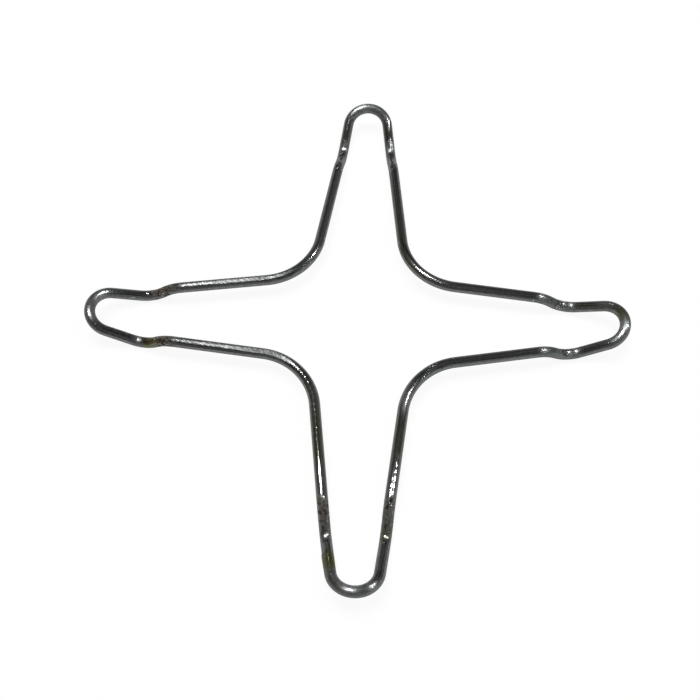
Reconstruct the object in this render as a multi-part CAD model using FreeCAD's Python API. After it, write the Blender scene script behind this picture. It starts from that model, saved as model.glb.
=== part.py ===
import FreeCAD, Part
import math
import os

# Pan support for a gas burner: one round wire bent into a four-armed cross and closed on itself.
# Millimetres, with +Z up. Arms run out along +X, +Y, -X and -Y. The origin is under the middle of
# the outer box, on the plane that the notches rest on.

# Wire
wire_diameter = 3.0

# Arms, measured to the centreline of the wire
arm_reach = 75.5          # from the middle of the cross to the tip of an arm
loop_radius = 6.15        # bend of the loop that turns the wire back at the tip
tip_rise = 2.1            # tip above the flat middle of the cross
notch_to_tip = 15.6       # from the sharp point of the notch out to the tip
notch_drop = 4.0          # that point below the flat middle
notch_half_width = 7.75   # from the arm's middle line to a limb at the notch
notch_radius = 7.5        # bend at the foot of the notch
step_to_notch = 6.1       # from where the limbs turn down out to the notch
step_half_width = 8.4     # from the arm's middle line to a limb at the step
step_radius = 9.0         # bend where the limbs turn down

# Inner corners, where a limb of one arm turns into a limb of the next
corner_offset = 13.7      # sharp point of a corner from the middle lines of both arms
corner_radius = 17.2

# The cross as it came off the bender: arms from +X towards +Y, each with the corner after it
arm_shortfall = [1.7, 0.0, 0.0, 0.0]
arm_lean_degrees = [0.6, -0.55, -0.55, 1.15]
corner_shift = [-0.2, 0.5, -1.05, 0.55]

# The least share of a straight run that the bends at its two ends leave straight
straight_share = 0.04

arm_count = len(arm_shortfall)


class Bend:
    """A sharp point of the path, with the radius that rounds it."""

    def __init__(self, point, radius):
        self.entry = point
        self.exit = point
        self.radius = radius

    def half_turn(self, before, after):
        """Half the angle, in radians, that the path turns through here."""
        return (self.entry - before.exit).getAngle(after.entry - self.exit) / 2

    def setback(self, before, after):
        """How far from the sharp point the rounded bend starts and ends."""
        return self.radius * math.tan(self.half_turn(before, after))

    def arc(self, before, after, setback):
        """Start, middle and end of the arc that rounds the point."""
        back = (before.exit - self.entry).normalize()
        ahead = (after.entry - self.exit).normalize()
        inward = (back + ahead).normalize()
        cut = setback * math.tan(self.half_turn(before, after) / 2)
        return self.entry + back * setback, self.entry + inward * cut, self.exit + ahead * setback


class Loop:
    """The round end of an arm, from where one limb runs into it to where the other leaves it."""

    def __init__(self, entry, tip, exit):
        self.entry = entry
        self.tip = tip
        self.exit = exit

    def setback(self, before, after):
        """The limbs already end where the loop starts."""
        return 0.0

    def arc(self, before, after, setback):
        """Start, middle and end of the loop."""
        return self.entry, self.tip, self.exit


def tangent_point(notch, tip):
    """Where the limb on the +Y side meets its loop, for an arm along +X.

    The loop lies in the plane that rises from the two notches to the tip. The limb leaves the
    notch in a straight line and runs into the loop as a tangent.
    """
    foot = FreeCAD.Vector(notch.x, 0, notch.z)
    outward = (tip - foot).normalize()
    centre = tip - outward * loop_radius
    centre_distance = (centre - foot).Length
    to_notch = math.hypot(centre_distance, notch.y)
    angle = math.acos(loop_radius / to_notch) + math.atan2(notch.y, centre_distance)
    aside = FreeCAD.Vector(0, loop_radius * math.sin(angle), 0)
    return centre - outward * (loop_radius * math.cos(angle)) + aside


def arm_bends(arm):
    """The corner before an arm, then its bends from the first step round the tip to the second."""
    reach = arm_reach - arm_shortfall[arm]
    tip = FreeCAD.Vector(reach, 0, tip_rise)
    notch = FreeCAD.Vector(reach - notch_to_tip, notch_half_width, -notch_drop)
    step = FreeCAD.Vector(notch.x - step_to_notch, step_half_width, 0)
    loop_end = tangent_point(notch, tip)
    corner = corner_offset + corner_shift[arm - 1]
    square_heading = 360 / arm_count * arm
    heading = square_heading + arm_lean_degrees[arm]

    def placed(point, side, degrees):
        """A point of the arm on its own side, +1 or -1, turned counterclockwise from above."""
        turn = FreeCAD.Rotation(FreeCAD.Vector(0, 0, 1), degrees)
        return turn.multVec(FreeCAD.Vector(point.x, point.y * side, point.z))

    return [
        Bend(placed(FreeCAD.Vector(corner, corner, 0), -1, square_heading), corner_radius),
        Bend(placed(step, -1, heading), step_radius),
        Bend(placed(notch, -1, heading), notch_radius),
        Loop(placed(loop_end, -1, heading), placed(tip, 1, heading), placed(loop_end, 1, heading)),
        Bend(placed(notch, 1, heading), notch_radius),
        Bend(placed(step, 1, heading), step_radius),
    ]


def rounded(ring):
    """The arcs of a closed ring of bends. Where two would meet, both shrink to fit their run."""
    befores = ring[-1:] + ring[:-1]
    afters = ring[1:] + ring[:1]
    wanted = [bend.setback(before, after) for before, bend, after in zip(befores, ring, afters)]
    room = []
    for bend, after, here, there in zip(ring, afters, wanted, wanted[1:] + wanted[:1]):
        run = (after.entry - bend.exit).Length
        room.append(min(1.0, run * (1 - straight_share) / (here + there)))
    shrink = [min(pair) for pair in zip(room[-1:] + room[:-1], room)]
    arcs = []
    for before, bend, after, length, share in zip(befores, ring, afters, wanted, shrink):
        arcs.append(bend.arc(before, after, length * share))
    return arcs


def arm_paths():
    """The centreline as one wire for each arm, from the corner before it to the next corner."""
    arms = [arm_bends(arm) for arm in range(arm_count)]
    arcs = rounded([bend for bends in arms for bend in bends])
    edges = []
    for arc, next_arc in zip(arcs, arcs[1:] + arcs[:1]):
        edges.append(Part.Arc(*arc).toShape())
        edges.append(Part.LineSegment(arc[-1], next_arc[0]).toShape())
    arm_edges = len(edges) // arm_count
    return [Part.Wire(edges[start:start + arm_edges]) for start in range(0, len(edges), arm_edges)]


def drawn_along(path):
    """Round wire along a path."""
    first = path.OrderedEdges[0]
    start = first.valueAt(first.FirstParameter)
    direction = first.tangentAt(first.FirstParameter)
    section = Part.Wire(Part.makeCircle(wire_diameter / 2, start, direction))
    return path.makePipeShell([section], True, False)


def seated(shape):
    """The shape with the origin under the middle of its box, at the height of its lowest point."""
    box = shape.optimalBoundingBox(False, False)
    shape.translate(FreeCAD.Vector(-box.Center.x, -box.Center.y, -box.ZMin))
    return shape


paths = arm_paths()
arms = [drawn_along(path) for path in paths]
cross_wire = seated(arms[0].fuse(arms[1:]).Solids[0])

os.makedirs("parts", exist_ok=True)
cross_wire.exportStep("parts/cross_wire.step")

length = sum(path.Length for path in paths)
swept = math.pi / 4 * wire_diameter ** 2 * length
print("centreline", round(length, 1), "mm")
print("volume", round(cross_wire.Volume, 1), "mm3, section times length", round(swept, 1), "mm3")
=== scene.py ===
import math

import bpy
import numpy as np
from mathutils import Matrix


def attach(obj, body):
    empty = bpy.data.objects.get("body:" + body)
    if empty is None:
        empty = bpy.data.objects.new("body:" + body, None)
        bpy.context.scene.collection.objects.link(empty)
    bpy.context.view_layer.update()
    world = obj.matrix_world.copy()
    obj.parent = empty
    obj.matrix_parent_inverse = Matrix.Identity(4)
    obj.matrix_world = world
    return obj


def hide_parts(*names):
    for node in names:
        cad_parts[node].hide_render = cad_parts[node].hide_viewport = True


# Pan support for a gas burner: one chrome plated wire, bent into a four-armed cross.
# Lengths are in millimetres until they go into Blender, which works in metres.

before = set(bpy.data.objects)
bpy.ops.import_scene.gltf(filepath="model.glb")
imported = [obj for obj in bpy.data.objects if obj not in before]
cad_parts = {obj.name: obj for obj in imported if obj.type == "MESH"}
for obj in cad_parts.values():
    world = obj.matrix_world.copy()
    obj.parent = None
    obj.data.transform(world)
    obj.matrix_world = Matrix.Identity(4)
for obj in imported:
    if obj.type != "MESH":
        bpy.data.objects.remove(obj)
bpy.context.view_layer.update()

MILLIMETRE = 0.001
UP = np.array([0.0, 0.0, 1.0])


# Sizes of the wire and its bends, as in the CAD part

WIRE_RADIUS = 1.5
ARM_REACH = 75.5
LOOP_RADIUS = 6.15
TIP_RISE = 2.1
NOTCH_TO_TIP = 15.6
NOTCH_DROP = 4.0
NOTCH_HALF_WIDTH = 7.75
NOTCH_RADIUS = 7.5
STEP_TO_NOTCH = 6.1
STEP_HALF_WIDTH = 8.4
STEP_RADIUS = 9.0
CORNER_OFFSET = 13.7
CORNER_RADIUS = 17.2
STRAIGHT_SHARE = 0.04

# Arms from +X towards +Y: how far each falls short, how far it leans, and its corner's error
ARM_HEADING_DEGREES = np.array([0.0, 90.0, 180.0, 270.0])
ARM_TO_CORNER_DEGREES = 45.0
ARM_SHORTFALL = np.array([1.7, 0.0, 0.0, 0.0])
ARM_LEAN_DEGREES = np.array([0.6, -0.55, -0.55, 1.15])
CORNER_SHIFT = np.array([-0.2, 0.5, -1.05, 0.55])

# Where the middle of the cross lies in the CAD frame
SEAT = np.array([0.8503, -0.0054, 4.6185])

# Mesh of the wire
RINGS = 1300
SIDES = 64


# Small helpers

def linear(hex_colour):
    """An sRGB hex colour as linear red, green, blue and alpha."""
    parts = np.array([int(hex_colour[i:i + 2], 16) for i in (1, 3, 5)]) / 255
    light = np.where(parts <= 0.04045, parts / 12.92, ((parts + 0.055) / 1.055) ** 2.4)
    return (*light.tolist(), 1.0)


def unit(vectors):
    """The vectors at length 1."""
    return vectors / np.linalg.norm(vectors, axis=-1, keepdims=True)


def direction(azimuth, elevation):
    """The unit vector at an azimuth from +Y towards +X and an elevation above the floor."""
    a, e = math.radians(azimuth), math.radians(elevation)
    return np.array([math.sin(a) * math.cos(e), math.cos(a) * math.cos(e), math.sin(e)])


def node(tree, kind, settings=None, inputs=None):
    """Add a node, set its properties, and give its inputs a value or a link.

    A link comes from an output socket, or from a node, which stands for its first output.
    """
    made = tree.nodes.new(kind)
    for name, value in (settings or {}).items():
        setattr(made, name, value)
    for name, value in (inputs or {}).items():
        if isinstance(value, bpy.types.Node):
            value = value.outputs[0]
        if isinstance(value, bpy.types.NodeSocket):
            tree.links.new(value, made.inputs[name])
        else:
            made.inputs[name].default_value = value
    return made


# Line of the wire

def arm_corner_points():
    """Entry and exit of every bend, four arms of six: corner, step, notch, loop, notch, step.

    A bend that turns at one sharp point enters and leaves there. A loop enters and leaves where
    the limbs touch it: its centre lies one loop radius inside the tip, on the plane through the
    tip and both notches, and the angle at the centre from inward to the touching point is
    acos(radius / distance to notch) + atan2(half width, distance along the arm).
    """
    rise = TIP_RISE + NOTCH_DROP
    outward = unit(np.array([NOTCH_TO_TIP, 0.0, rise]))
    ahead = math.hypot(NOTCH_TO_TIP, rise) - LOOP_RADIUS
    angle = math.acos(LOOP_RADIUS / math.hypot(ahead, NOTCH_HALF_WIDTH))
    angle += math.atan2(NOTCH_HALF_WIDTH, ahead)
    touch = -outward * LOOP_RADIUS * (1 + math.cos(angle))
    touch += np.array([0.0, LOOP_RADIUS * math.sin(angle), 0.0])
    tip = np.array([0.0, 0.0, TIP_RISE])
    notch = np.array([-NOTCH_TO_TIP, NOTCH_HALF_WIDTH, -NOTCH_DROP])
    step = np.array([-NOTCH_TO_TIP - STEP_TO_NOTCH, STEP_HALF_WIDTH, 0.0])
    mirrored = np.array([1.0, -1.0, 1.0])
    entries = np.stack([step * mirrored, notch * mirrored, (tip + touch) * mirrored, notch, step])
    exits = np.stack([step * mirrored, notch * mirrored, tip + touch, notch, step])

    def placed(points, degrees, reach):
        """The points moved out along each arm, then turned to its heading."""
        moved = points + np.stack([reach, 0 * reach, 0 * reach], axis=-1)[:, None]
        cos, sin = np.cos(np.radians(degrees)), np.sin(np.radians(degrees))
        x = moved[..., 0] * cos[:, None] - moved[..., 1] * sin[:, None]
        y = moved[..., 0] * sin[:, None] + moved[..., 1] * cos[:, None]
        return np.stack([x, y, moved[..., 2]], axis=-1)

    corner = CORNER_OFFSET + np.roll(CORNER_SHIFT, 1)
    corner_reach = corner * math.sqrt(2)
    corner_heading = ARM_HEADING_DEGREES - ARM_TO_CORNER_DEGREES
    corners = placed(np.zeros((1, 3)), corner_heading, corner_reach)
    heading = ARM_HEADING_DEGREES + ARM_LEAN_DEGREES
    reach = ARM_REACH - ARM_SHORTFALL
    entries = np.concatenate([corners, placed(entries, heading, reach)], axis=1)
    exits = np.concatenate([corners, placed(exits, heading, reach)], axis=1)
    return entries.reshape(-1, 3), exits.reshape(-1, 3)


def wire_line():
    """The line as pieces in order: start, direction, way of curving, curvature and length.

    Each bend is an arc that touches both of its straight runs. It starts a setback before the
    sharp point, where setback = radius x tan(half the turn), and where two setbacks would fill
    a run, both shrink. The runs between are pieces with no curvature.
    """
    entries, exits = arm_corner_points()
    # A loop is round already, so it has no corner to round off
    no_corner = 0.0
    arm_radii = [CORNER_RADIUS, STEP_RADIUS, NOTCH_RADIUS, no_corner, NOTCH_RADIUS, STEP_RADIUS]
    radius = np.tile(arm_radii, len(ARM_HEADING_DEGREES))
    is_loop = radius == no_corner
    gap = np.roll(entries, -1, axis=0) - exits
    gap_length = np.linalg.norm(gap, axis=1)
    leaving = unit(gap)
    arriving = np.roll(leaving, 1, axis=0)
    turn = np.arccos(np.sum(arriving * leaving, axis=1))
    setback = radius * np.tan(turn / 2)
    room = gap_length * (1 - STRAIGHT_SHARE) / (setback + np.roll(setback, -1))
    room = np.minimum(room, 1)
    setback *= np.minimum(room, np.roll(room, 1))
    radius = np.where(is_loop, LOOP_RADIUS, setback / np.tan(turn / 2))
    inward = unit(leaving - arriving * np.cos(turn)[:, None])
    run_length = gap_length - setback - np.roll(setback, -1)
    starts = np.stack([entries - arriving * setback[:, None], exits + leaving * setback[:, None]], 1)
    directions = np.stack([arriving, leaving], 1)
    bending = np.stack([inward, inward], 1)
    curvature = np.stack([1 / radius, 0 * radius], 1)
    lengths = np.stack([radius * turn, run_length], 1)
    return (starts.reshape(-1, 3), directions.reshape(-1, 3), bending.reshape(-1, 3),
            curvature.ravel(), lengths.ravel())


def points_along(line, distance):
    """Positions and directions at distances along the line.

    On a piece with curvature k, at a distance s past its start, the position is
    start + direction sin(ks)/k + bending (1 - cos(ks))/k, which is a straight line where k is 0.
    """
    starts, directions, bending, curvature, lengths = line
    ends = np.cumsum(lengths)
    distance = distance % ends[-1]
    piece = np.minimum(np.searchsorted(ends, distance, side="right"), len(ends) - 1)
    s = (distance - (ends - lengths)[piece])[:, None]
    turned = curvature[piece][:, None] * s
    forward = s * np.sinc(turned / math.pi)
    aside = s * np.sin(turned / 2) * np.sinc(turned / 2 / math.pi)
    position = starts[piece] + directions[piece] * forward + bending[piece] * aside
    heading = directions[piece] * np.cos(turned) + bending[piece] * np.sin(turned)
    return position, heading


# Wire

# The weld lies on the near arm, the last of the four, just before its loop
NEAR_ARM = 3
BENDS_PER_ARM = 6
LOOP_AMONG_BENDS = 3
PIECES_PER_BEND = 2
WELD_PAST_LOOP_START = -5.75
WELD_SWELLING = 0.16
WELD_SWELLING_LENGTH = 6.5
WELD_STEP_LENGTH = 0.5

# Marks on the wire: middle and half length in millimetres past the weld, and strength
MARKS = {
    # Ripples that the bender's rolls pressed into the wire
    "rolled": [(40.0, 4.0, 0.1), (47.5, 3.5, 0.12), (55.5, 3.0, 0.04), (120.5, 3.0, 0.12),
               (165.0, 2.5, 0.12), (181.0, 8.0, 0.08), (312.0, 12.0, 0.08),
               (348.0, 5.0, 0.12), (362.0, 9.0, 0.06), (376.0, 4.0, 0.15),
               (414.0, 6.0, 0.15), (437.0, 8.0, 0.16), (452.0, 8.0, 0.12), (466.0, 7.0, 0.08),
               (479.0, 9.0, 0.24), (489.0, 3.0, 0.08), (510.0, 4.0, 0.15)],
    # Rubbed grey where the tool held the wire
    "scuffed": [(41.0, 3.5, 0.12), (120.3, 3.2, 1.0), (151.0, 2.5, 0.2), (165.5, 3.0, 1.0),
                (246.0, 5.0, 0.3), (295.0, 4.0, 0.4), (378.0, 4.0, 0.12), (427.0, 5.0, 0.12),
                (509.0, 4.0, 0.12)],
    # Duller where bending stretched the plate
    "bent": [(2.5, 3.0, 0.6), (13.0, 9.0, 0.9), (34.5, 3.0, 0.5), (47.5, 3.5, 0.1),
             (73.0, 7.0, 0.4), (83.5, 3.0, 0.6), (115.5, 2.5, 1.1), (125.0, 2.5, 1.1),
             (141.0, 9.0, 0.9), (151.5, 3.0, 0.6), (161.0, 2.5, 1.1), (170.0, 2.5, 1.1),
             (204.0, 9.0, 0.45), (255.0, 3.0, 1.0), (271.0, 9.0, 1.0), (289.0, 3.0, 0.8),
             (333.0, 8.0, 0.4), (357.0, 10.0, 0.4), (401.0, 9.0, 0.8), (421.0, 2.5, 1.0),
             (458.0, 8.0, 0.6), (500.5, 4.5, 0.24), (515.5, 3.0, 0.5)],
    # Drawing lines opened up
    "opened": [(47.5, 3.0, 1.0), (500.5, 5.0, 1.0)],
    # Top of the wire worn dull by pans
    "worn": [(346.0, 6.0, 1.0), (358.0, 9.0, 0.95), (371.0, 5.0, 1.0), (449.0, 19.0, 1.2)],
    # Brown reflection from the room, painted into the plate's colour at the steps, where the plate
    # is also duller and less metallic
    "painted_brown_reflection": [(40.0, 4.5, 0.8), (378.0, 4.0, 1.0), (429.5, 3.0, 1.0), (509.5, 4.0, 0.9)],
    # Olive reflection from the room, painted into the plate's colour in patches
    "painted_olive_reflection": [(2.6, 3.0, 0.9), (35.0, 2.5, 0.6), (60.0, 6.0, 0.25), (145.5, 2.2, 0.6),
                 (220.0, 14.0, 0.2), (425.0, 3.0, 0.8), (490.0, 9.0, 0.35)],
}


def strength_along(along, total, places):
    """How strong a mark is along the wire: each place adds strength x exp(-(distance/half)^4)."""
    middle, half, strength = np.array(places).T
    distance = np.abs(along[:, None] - middle)
    distance = np.minimum(distance, total - distance)
    return np.sum(strength * np.exp(-(distance / half) ** 4), axis=1)


def wire_mesh():
    """The wire as a closed tube that starts and ends at its butt weld.

    A circle is carried along the line. It stays square to the line, with its own top turned
    towards +Z. Its radius is the wire's plus the weld's swelling, which starts with a small step,
    fades over a few millimetres as 1 - smoothstep, and is strongest on the outer side of the
    loop. At an angle t from the top, the surface lies along side x sin(t) + top x cos(t), and the
    way round the wire there is side x cos(t) - top x sin(t).
    """
    line = wire_line()
    lengths = line[-1]
    total = lengths.sum()
    loop_of_near_arm = PIECES_PER_BEND * (NEAR_ARM * BENDS_PER_ARM + LOOP_AMONG_BENDS)
    weld = lengths[:loop_of_near_arm].sum() + WELD_PAST_LOOP_START
    along = np.arange(RINGS) * total / RINGS
    centre, heading = points_along(line, weld + along)
    side = unit(np.cross(heading, UP))
    top = np.cross(side, heading)
    around = np.arange(SIDES) * 2 * math.pi / SIDES - math.pi
    risen = np.clip(along / WELD_STEP_LENGTH, 0, 1)
    faded = np.clip(along / WELD_SWELLING_LENGTH, 0, 1)
    swelling = WELD_SWELLING * risen * (1 - faded * faded * (3 - 2 * faded))
    outer_share = (1 + np.sin(around)) / 2
    radius = WIRE_RADIUS + swelling[:, None] * outer_share
    out = side[:, None] * np.sin(around)[:, None] + top[:, None] * np.cos(around)[:, None]
    surface = centre[:, None] + SEAT + out * radius[..., None]

    # Each face joins two rings, so the last one joins the last ring to the first
    ring, turn = np.meshgrid(np.arange(RINGS), np.arange(SIDES), indexing="ij")
    next_ring, next_turn = (ring + 1) % RINGS, (turn + 1) % SIDES
    faces = np.stack([ring * SIDES + turn, ring * SIDES + next_turn,
                      next_ring * SIDES + next_turn, next_ring * SIDES + turn], -1)
    mesh = bpy.data.meshes.new("chromed_wire")
    mesh.from_pydata(surface.reshape(-1, 3) * MILLIMETRE, [], faces.reshape(-1, 4))
    mesh.polygons.foreach_set("use_smooth", np.ones(RINGS * SIDES, dtype=bool))

    # Where each face's corners lay on the straight wire before it was bent, in millimetres
    corner_ring = np.stack([ring, ring, ring + 1, ring + 1], -1) * total / RINGS
    corner_turn = np.stack([turn, turn + 1, turn + 1, turn], -1) * 2 * math.pi / SIDES
    straight = np.stack([corner_ring, -np.sin(corner_turn) * WIRE_RADIUS,
                         -np.cos(corner_turn) * WIRE_RADIUS], -1)
    drawn = mesh.attributes.new("drawn", "FLOAT_VECTOR", "CORNER")
    drawn.data.foreach_set("vector", straight.astype(np.float32).ravel())

    # The way round the wire, which the sheen is stretched along
    across = side[:, None] * np.cos(around)[:, None] - top[:, None] * np.sin(around)[:, None]
    way_round = mesh.attributes.new("across", "FLOAT_VECTOR", "POINT")
    way_round.data.foreach_set("vector", across.astype(np.float32).ravel())

    for name, places in MARKS.items():
        marks = np.repeat(strength_along(along, total, places), SIDES)
        mark = mesh.attributes.new(name, "FLOAT", "POINT")
        mark.data.foreach_set("value", marks.astype(np.float32))
    mesh.update()
    return mesh


# Chrome plate on drawn steel wire

# Patterns of the plate: how many features to a millimetre, and how many finer ones are added
PATTERNS = {
    # Lengthwise lines from the drawing die, 0.2 mm apart
    "lines": (5.0, 1.0),
    # Strokes of wear from pans, 0.5 mm apart and 1.7 mm long
    "strokes": (1.2, 1.0),
    # Mottling of the plate, 0.8 mm across
    "mottling": (1.2, 2.0),
    # Paler and darker clouds in the plate, 0.6 mm across
    "clouds": (1.6, 2.0),
    # Patches of the painted olive reflection, 2.5 mm across
    "olive_reflection_patchiness": (0.4, 2.0),
    # Patches of the painted brown reflection, 1.1 mm across
    "brown_reflection_patchiness": (0.9, 3.0),
    # Slow change of the sheen along the wire, over 8 mm
    "sheen": (0.12, 1.0),
}

# Scale of the drawing lines along the wire and in both ways across it: far longer than wide
LINE_STRETCH = (0.015, 1.0, 1.0)

# Strokes of wear: their slant to the wire in radians, and how far they are stretched
STROKE_SLANT = (0.0, 0.0, 0.6)
STROKE_STRETCH = (2.0, 0.6, 2.0)

# The worn top of the wire starts and is complete at these heights above its centreline
WORN_TOP_STARTS = 0.86 * WIRE_RADIUS
WORN_TOP_COMPLETE = 0.985 * WIRE_RADIUS

# Ripples from the rolls: their slant in radians, and the wave scale that sets them 1.26 mm apart
RIPPLE_SLANT = (0.0, 0.2, 0.7)
RIPPLE_SCALE = 0.25

# Relief in millimetres on sound plate, and what each mark adds at full strength
SOUND_DEPTH = 0.001
OPENED_DEPTH = 0.027
ROLLED_DEPTH = 0.05
SCUFFED_DEPTH = 0.03

# Roughness of sound plate, from bright to dull, and what each mark adds at full strength
SOUND_ROUGHNESS = (0.05, 0.09)
BENT_ROUGHNESS = 0.27
WORN_ROUGHNESS = 0.27
SCUFFED_ROUGHNESS = 0.35
BROWN_PATCH_ROUGHNESS = 0.15

# How much duller the sheen is across the drawing lines than along them, from 0 to 1
SHEEN_STRETCH = 0.8

# What the full painted brown reflection adds to the metallic value, which is 1 on sound plate
BROWN_PATCH_METALLIC = -0.5

# Colours of the plate and of the marks on it: the olive and the brown are painted reflections, and
# the colour between the wear strokes is painted shade
CHROME_DARKER = "#B5B8B9"
CHROME_PALER = "#D2D5D6"
CHROME_OLIVE_REFLECTION = "#A6A56E"
CHROME_PAINTED_SHADE_BETWEEN_STROKES = "#929493"
BROWN_REFLECTION_DARKER = "#241E1B"
BROWN_REFLECTION_PALER = "#6A4828"


def chrome_material():
    """Decorative chrome on drawn steel, with its steps bent after plating.

    To the eye it is a dark mirror with a faint blue cast that takes its colour from the room.
    The drawing lines under the plate pull highlights sideways, small ripples from the bender's
    rolls break them up, and pans have worn the top of one arm dull in slanting strokes, with
    painted shade darkening the plate between the strokes. An olive reflection from the room is
    painted into the plate in patches, and a brown reflection is painted in at the steps, where
    the plate is also made duller and less metallic.
    """
    material = bpy.data.materials.new("chrome_plate_on_drawn_steel")
    material.use_nodes = True
    tree = material.node_tree
    tree.nodes.clear()

    drawn = node(tree, "ShaderNodeAttribute", {"attribute_name": "drawn"}).outputs["Vector"]
    mark = {name: node(tree, "ShaderNodeAttribute", {"attribute_name": name}).outputs["Fac"]
            for name in MARKS}

    # Each pattern lies on the straight wire, with lines and strokes drawn out their own way
    place = dict.fromkeys(PATTERNS, drawn)
    place["lines"] = node(tree, "ShaderNodeVectorMath", {"operation": "MULTIPLY"},
                          {0: drawn, 1: LINE_STRETCH})
    place["strokes"] = node(tree, "ShaderNodeMapping", {"vector_type": "TEXTURE"},
                            {"Vector": drawn, "Rotation": STROKE_SLANT, "Scale": STROKE_STRETCH})
    pattern = {name: node(tree, "ShaderNodeTexNoise", None,
                          {"Vector": place[name], "Scale": scale, "Detail": detail})
               for name, (scale, detail) in PATTERNS.items()}

    # Slanting ripples from the bender's rolls
    slanted = node(tree, "ShaderNodeMapping", None, {"Vector": drawn, "Rotation": RIPPLE_SLANT})
    ripples = node(tree, "ShaderNodeTexWave", {"bands_direction": "X"},
                   {"Vector": slanted, "Scale": RIPPLE_SCALE, "Distortion": 1.6, "Detail": 1.0,
                    "Detail Scale": 2.0})

    # Wear on the top of the wire, with painted shade darkening the plate between its strokes
    above = node(tree, "ShaderNodeSeparateXYZ", None, {0: drawn}).outputs["Z"]
    top = node(tree, "ShaderNodeMapRange", {"interpolation_type": "SMOOTHSTEP"},
               {"Value": above, "From Min": WORN_TOP_STARTS, "From Max": WORN_TOP_COMPLETE})
    worn = node(tree, "ShaderNodeMath", {"operation": "MULTIPLY"}, {0: mark["worn"], 1: top})
    gaps = node(tree, "ShaderNodeMapRange", {"interpolation_type": "SMOOTHSTEP"},
                {"Value": pattern["strokes"], "From Min": 0.4, "From Max": 0.6,
                 "To Min": 1.0, "To Max": 0.0})
    painted_shade_between_strokes = node(tree, "ShaderNodeMath", {"operation": "MULTIPLY"}, {0: worn, 1: gaps})

    # Height in millimetres: drawing lines, ripples and mottling, each as deep as its mark says
    height = 0.0
    for relief, name, sound_depth, added_depth in (
            (pattern["lines"], "opened", SOUND_DEPTH, OPENED_DEPTH),
            (ripples, "rolled", 0.0, ROLLED_DEPTH),
            (pattern["mottling"], "scuffed", SOUND_DEPTH, SCUFFED_DEPTH)):
        depth = node(tree, "ShaderNodeMath", {"operation": "MULTIPLY_ADD"},
                     {0: mark[name], 1: added_depth, 2: sound_depth})
        height = node(tree, "ShaderNodeMath", {"operation": "MULTIPLY_ADD"},
                      {0: relief, 1: depth, 2: height})
    bump = node(tree, "ShaderNodeBump", None, {"Height": height, "Distance": MILLIMETRE})

    # How far the olive reflection is painted into the plate, and how far the brown reflection is
    olive_reflection_patches = node(tree, "ShaderNodeMapRange", None,
                          {"Value": pattern["olive_reflection_patchiness"], "From Min": 0.3, "From Max": 0.6,
                           "To Min": 0.4})
    olive_reflection_share = node(tree, "ShaderNodeMath", {"operation": "MULTIPLY"},
                  {0: mark["painted_olive_reflection"], 1: olive_reflection_patches})
    # The brown reflection, painted in patches at the steps
    brown_reflection_patches = node(tree, "ShaderNodeMapRange", {"interpolation_type": "SMOOTHSTEP"},
                        {"Value": pattern["brown_reflection_patchiness"], "From Min": 0.38, "From Max": 0.62})
    brown_reflection_share = node(tree, "ShaderNodeMath", {"operation": "MULTIPLY"},
                {0: mark["painted_brown_reflection"], 1: brown_reflection_patches})

    # Colour: nearly even plate, then the painted olive reflection, the painted shade between the
    # wear strokes and the painted brown reflection over it
    clouds = node(tree, "ShaderNodeMapRange", None,
                  {"Value": pattern["clouds"], "From Min": 0.35, "From Max": 0.65})
    brown_reflection_colour = node(tree, "ShaderNodeMix", {"data_type": "RGBA"},
                 {0: clouds, 6: linear(BROWN_REFLECTION_DARKER), 7: linear(BROWN_REFLECTION_PALER)}).outputs[2]
    colour = linear(CHROME_DARKER)
    for share, over in ((clouds, linear(CHROME_PALER)), (olive_reflection_share, linear(CHROME_OLIVE_REFLECTION)),
                        (painted_shade_between_strokes, linear(CHROME_PAINTED_SHADE_BETWEEN_STROKES)), (brown_reflection_share, brown_reflection_colour)):
        colour = node(tree, "ShaderNodeMix", {"data_type": "RGBA"},
                      {0: share, 6: colour, 7: over}).outputs[2]
    # Under the painted brown reflection the plate is also less metallic
    metallic = node(tree, "ShaderNodeMath", {"operation": "MULTIPLY_ADD"},
                    {0: brown_reflection_share, 1: BROWN_PATCH_METALLIC, 2: 1.0})

    # Sheen: a bright mirror, duller where it is bent, worn or scuffed and under the painted brown
    # reflection, and across the drawing lines much duller than along them
    grain = node(tree, "ShaderNodeMapRange", None,
                 {"Value": pattern["mottling"], "From Min": 0.42, "From Max": 0.62,
                  "To Max": SCUFFED_ROUGHNESS})
    roughness = node(tree, "ShaderNodeMapRange", None,
                     {"Value": pattern["sheen"], "From Min": 0.35, "From Max": 0.65,
                      "To Min": SOUND_ROUGHNESS[0], "To Max": SOUND_ROUGHNESS[1]})
    for share, added in ((mark["bent"], BENT_ROUGHNESS), (worn, WORN_ROUGHNESS),
                         (mark["scuffed"], grain), (brown_reflection_share, BROWN_PATCH_ROUGHNESS)):
        roughness = node(tree, "ShaderNodeMath", {"operation": "MULTIPLY_ADD"},
                         {0: share, 1: added, 2: roughness})
    way_round = node(tree, "ShaderNodeAttribute", {"attribute_name": "across"}).outputs["Vector"]
    across = node(tree, "ShaderNodeVectorTransform",
                  {"vector_type": "VECTOR", "convert_from": "OBJECT", "convert_to": "WORLD"},
                  {0: way_round})
    shader = node(tree, "ShaderNodeBsdfPrincipled", None,
                  {"Base Color": colour, "Metallic": metallic, "Roughness": roughness,
                   "Anisotropic": SHEEN_STRETCH, "Tangent": across, "Normal": bump})
    node(tree, "ShaderNodeOutputMaterial", None, {"Surface": shader})
    return material


wire = bpy.data.objects.new("chromed_wire", wire_mesh())
bpy.context.scene.collection.objects.link(wire)
wire.data.materials.append(chrome_material())
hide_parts("cross_wire")
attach(wire, "root")

# The CAD wire, which this one stands for, has the same finish
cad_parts["cross_wire"].data.materials[0] = wire.data.materials[0]


# Floor

FLOOR_HALF_WIDTH = 20.0
FLOOR_COLOUR = "#FDFDFC"
FLOOR_IN_CHROME = "#7E7E7D"

# Share of the floor that is plain white to the camera. The rest shows the shadow.
FLOOR_PLAIN_SHARE = 0.93


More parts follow.
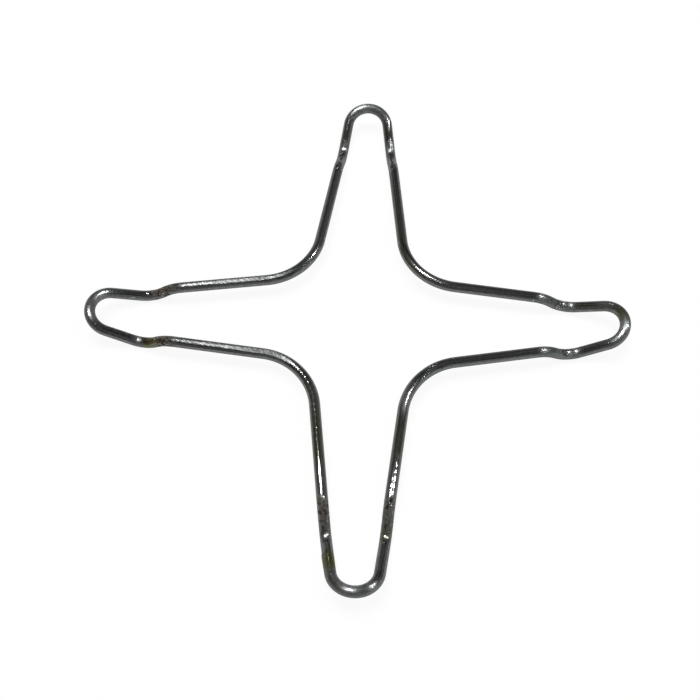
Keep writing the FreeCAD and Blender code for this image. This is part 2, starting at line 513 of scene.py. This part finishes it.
def floor_material():
    """Matt white card. What the camera sees of it is mostly plain white, less a soft shadow.

    The wire mirrors the same card as mid grey, which is how it shows in the photograph.
    """
    material = bpy.data.materials.new("matt_white_card")
    material.use_nodes = True
    tree = material.node_tree
    tree.nodes.clear()
    path = node(tree, "ShaderNodeLightPath")
    card = node(tree, "ShaderNodeBsdfDiffuse", None, {"Color": linear(FLOOR_COLOUR)})
    tone = node(tree, "ShaderNodeMix", {"data_type": "RGBA"},
                {0: path.outputs["Is Glossy Ray"], 6: linear("#FFFFFF"),
                 7: linear(FLOOR_IN_CHROME)})
    plain = node(tree, "ShaderNodeEmission", None, {"Color": tone.outputs[2]})
    seen = node(tree, "ShaderNodeMath", {"operation": "MAXIMUM"},
                {0: path.outputs["Is Camera Ray"], 1: path.outputs["Is Glossy Ray"]})
    seen = node(tree, "ShaderNodeMath", {"operation": "MAXIMUM"},
                {0: seen, 1: path.outputs["Is Transmission Ray"]})
    share = node(tree, "ShaderNodeMath", {"operation": "MULTIPLY"},
                 {0: seen, 1: FLOOR_PLAIN_SHARE})
    shader = node(tree, "ShaderNodeMixShader", None, {0: share, 1: card, 2: plain})
    node(tree, "ShaderNodeOutputMaterial", None, {"Surface": shader})
    return material


floor_mesh = bpy.data.meshes.new("floor")
floor_corners = FLOOR_HALF_WIDTH * np.array([(-1, -1, 0), (1, -1, 0), (1, 1, 0), (-1, 1, 0)])
floor_mesh.from_pydata(floor_corners, [], [(0, 1, 2, 3)])
floor = bpy.data.objects.new("floor", floor_mesh)
bpy.context.scene.collection.objects.link(floor)
floor.data.materials.append(floor_material())


# Room and lamps

# Strength of the room's light at the horizon and overhead, where 1 is white, and the share of
# the way up from which it stays the same
GLOW_LOW = 0.098
GLOW_OVERHEAD = 0.05
GLOW_EVEN_ABOVE = 0.6

# Least and most that the room's unevenness multiplies its light by
DARKEST_SHARE = 0.15
PALEST_SHARE = 1.9

# Warm side of the room: direction (azimuth, elevation) and half width in degrees
WARM_SIDE = ((-97.0, 16.0), 60.0)
ROOM_COLOUR = "#FFFFFA"
WARM_COLOUR = "#FFEDD0"

# Pale patches low in the room: direction, half width in degrees, strength and colour
PALE_PATCHES = [((120.0, 4.0), 24.0, 0.22, "#DDF0FF"),
                ((158.0, 16.0), 28.0, 0.10, "#F4F8FF"),
                ((80.0, 10.0), 22.0, 0.08, "#FFFFF0"),
                ((-52.0, 10.0), 26.0, 0.10, "#FFFFF0")]


def world_light():
    """A dim room: darkest overhead, a little lighter near the floor, and uneven all round.

    One side is warm, as from wood, and pale patches stand low round the room. The camera
    itself sees plain white beyond the floor.
    """
    world = bpy.data.worlds.new("dim_studio")
    world.use_nodes = True
    tree = world.node_tree
    tree.nodes.clear()
    way = node(tree, "ShaderNodeTexCoord").outputs["Generated"]
    height = node(tree, "ShaderNodeSeparateXYZ", None, {0: way}).outputs["Z"]
    glow = node(tree, "ShaderNodeMapRange", {"interpolation_type": "SMOOTHSTEP"},
                {"Value": height, "From Max": GLOW_EVEN_ABOVE,
                 "To Min": GLOW_LOW, "To Max": GLOW_OVERHEAD})
    uneven = node(tree, "ShaderNodeMapRange", {"interpolation_type": "SMOOTHSTEP"},
                  {"Value": node(tree, "ShaderNodeTexNoise", None,
                                 {"Vector": way, "Scale": 5.0, "Detail": 3.0}),
                   "From Min": 0.35, "From Max": 0.65,
                   "To Min": DARKEST_SHARE, "To Max": PALEST_SHARE})
    level = node(tree, "ShaderNodeMath", {"operation": "MULTIPLY"}, {0: glow, 1: uneven})

    def lobe(centre, half_width, top):
        """The value top in its own direction, which falls smoothly to 0 at a half width away."""
        towards = node(tree, "ShaderNodeVectorMath", {"operation": "DOT_PRODUCT"},
                       {0: way, 1: direction(*centre).tolist()})
        return node(tree, "ShaderNodeMapRange", {"interpolation_type": "SMOOTHSTEP"},
                    {"Value": towards.outputs["Value"], "To Max": top,
                     "From Min": math.cos(math.radians(half_width))})

    colour = node(tree, "ShaderNodeMix", {"data_type": "RGBA"},
                  {0: lobe(*WARM_SIDE, 1.0), 6: linear(ROOM_COLOUR), 7: linear(WARM_COLOUR)})
    room = node(tree, "ShaderNodeBackground", None, {"Color": colour.outputs[2], "Strength": level})
    for centre, half_width, strength, pale_colour in PALE_PATCHES:
        patch = node(tree, "ShaderNodeBackground", None,
                     {"Color": linear(pale_colour), "Strength": lobe(centre, half_width, strength)})
        room = node(tree, "ShaderNodeAddShader", None, {0: room, 1: patch})
    beyond = node(tree, "ShaderNodeBackground", None, {"Color": linear("#FFFFFF")})
    path = node(tree, "ShaderNodeLightPath")
    seen = node(tree, "ShaderNodeMath", {"operation": "MAXIMUM"},
                {0: path.outputs["Is Camera Ray"], 1: path.outputs["Is Transmission Ray"]})
    light = node(tree, "ShaderNodeMixShader", None, {0: seen, 1: room, 2: beyond})
    node(tree, "ShaderNodeOutputWorld", None, {"Surface": light})
    bpy.context.scene.world = world


def lamp(name, azimuth, elevation, distance, spread_degrees, light_level):
    """A round or oval lamp that faces the cross, its first width along +X as far as it can be.

    spread_degrees are its two widths as the cross sees them. light_level is what a white card
    that faces it gives back, where 1 is white: power = level x pi x pi x distance squared.
    """
    data = bpy.data.lights.new(name, "AREA")
    data.shape = "ELLIPSE"
    data.size, data.size_y = 2 * distance * np.tan(np.radians(spread_degrees) / 2)
    data.energy = light_level * (math.pi * distance) ** 2
    lamp_object = bpy.data.objects.new(name, data)
    bpy.context.scene.collection.objects.link(lamp_object)
    towards = direction(azimuth, elevation)
    upright = unit(np.cross(towards, np.array([1.0, 0.0, 0.0])))
    matrix = np.eye(4)
    matrix[:3] = np.stack([np.cross(upright, towards), upright, towards,
                           SEAT * MILLIMETRE + towards * distance], axis=1)
    lamp_object.matrix_world = Matrix(matrix.tolist())
    return lamp_object


world_light()

# The soft light that all matt surfaces are lit by. The wire mirrors only the room and the small
# lamps, as in the photograph, so its mirror doesn't show this one.
soft_light = lamp("soft_light", azimuth=-20.0, elevation=72.0, distance=2.0,
                  spread_degrees=(40.0, 40.0), light_level=0.8)
soft_light.visible_glossy = False

# Small lamps, found from where each one glints along the wire: azimuth, elevation, distance in
# metres, widths in degrees and light level
SMALL_LAMPS = {
    "main_lamp": (-27.0, 71.5, 1.8, (6.0, 3.0), 0.18),
    "side_lamp": (66.0, 56.0, 1.1, (3.8, 1.7), 0.14),
    "left_lamp": (-60.0, 76.0, 0.7, (2.0, 2.0), 0.003),
    "back_lamp": (-117.0, 80.0, 1.0, (2.0, 2.0), 0.003),
    "right_lamp": (109.0, 44.0, 1.0, (2.0, 2.0), 0.005),
    "far_lamp": (-9.8, 38.3, 1.69, (2.5, 1.5), 0.004),
}
for lamp_name, setting in SMALL_LAMPS.items():
    lamp(lamp_name, *setting)


# Camera, as worked out from the outline of the wire in the photograph

CAMERA_AIM = np.array([-2.075, -9.241, 0.0])
CAMERA_DISTANCE = 249.064
CAMERA_ELEVATION = math.radians(62.99)
CAMERA_AZIMUTH = math.radians(3.183)
CAMERA_ROLL = math.radians(-1.215)
FOCAL_LENGTH_PIXELS = 903.093
IMAGE_PIXELS = 700
SENSOR_WIDTH = 36.0
NEAREST_SEEN = 0.01
FARTHEST_SEEN = 100.0


def camera():
    """The camera looks down at the cross from in front, and a little turned about its axis."""
    back = np.array([math.sin(CAMERA_AZIMUTH) * math.cos(CAMERA_ELEVATION),
                     -math.cos(CAMERA_AZIMUTH) * math.cos(CAMERA_ELEVATION),
                     math.sin(CAMERA_ELEVATION)])
    level_right = unit(np.cross(-back, UP))
    level_up = np.cross(level_right, -back)
    cos, sin = math.cos(CAMERA_ROLL), math.sin(CAMERA_ROLL)
    right = level_right * cos + level_up * sin
    upward = level_up * cos - level_right * sin
    place = (CAMERA_AIM + SEAT + back * CAMERA_DISTANCE) * MILLIMETRE
    data = bpy.data.cameras.new("camera")
    data.sensor_width = SENSOR_WIDTH
    data.lens = FOCAL_LENGTH_PIXELS / IMAGE_PIXELS * SENSOR_WIDTH
    data.clip_start = NEAREST_SEEN
    data.clip_end = FARTHEST_SEEN
    made = bpy.data.objects.new("camera", data)
    matrix = np.eye(4)
    matrix[:3] = np.stack([right, upward, back, place], axis=1)
    made.matrix_world = Matrix(matrix.tolist())
    bpy.context.scene.collection.objects.link(made)
    bpy.context.scene.camera = made


camera()
bpy.context.scene.view_settings.view_transform = "Standard"
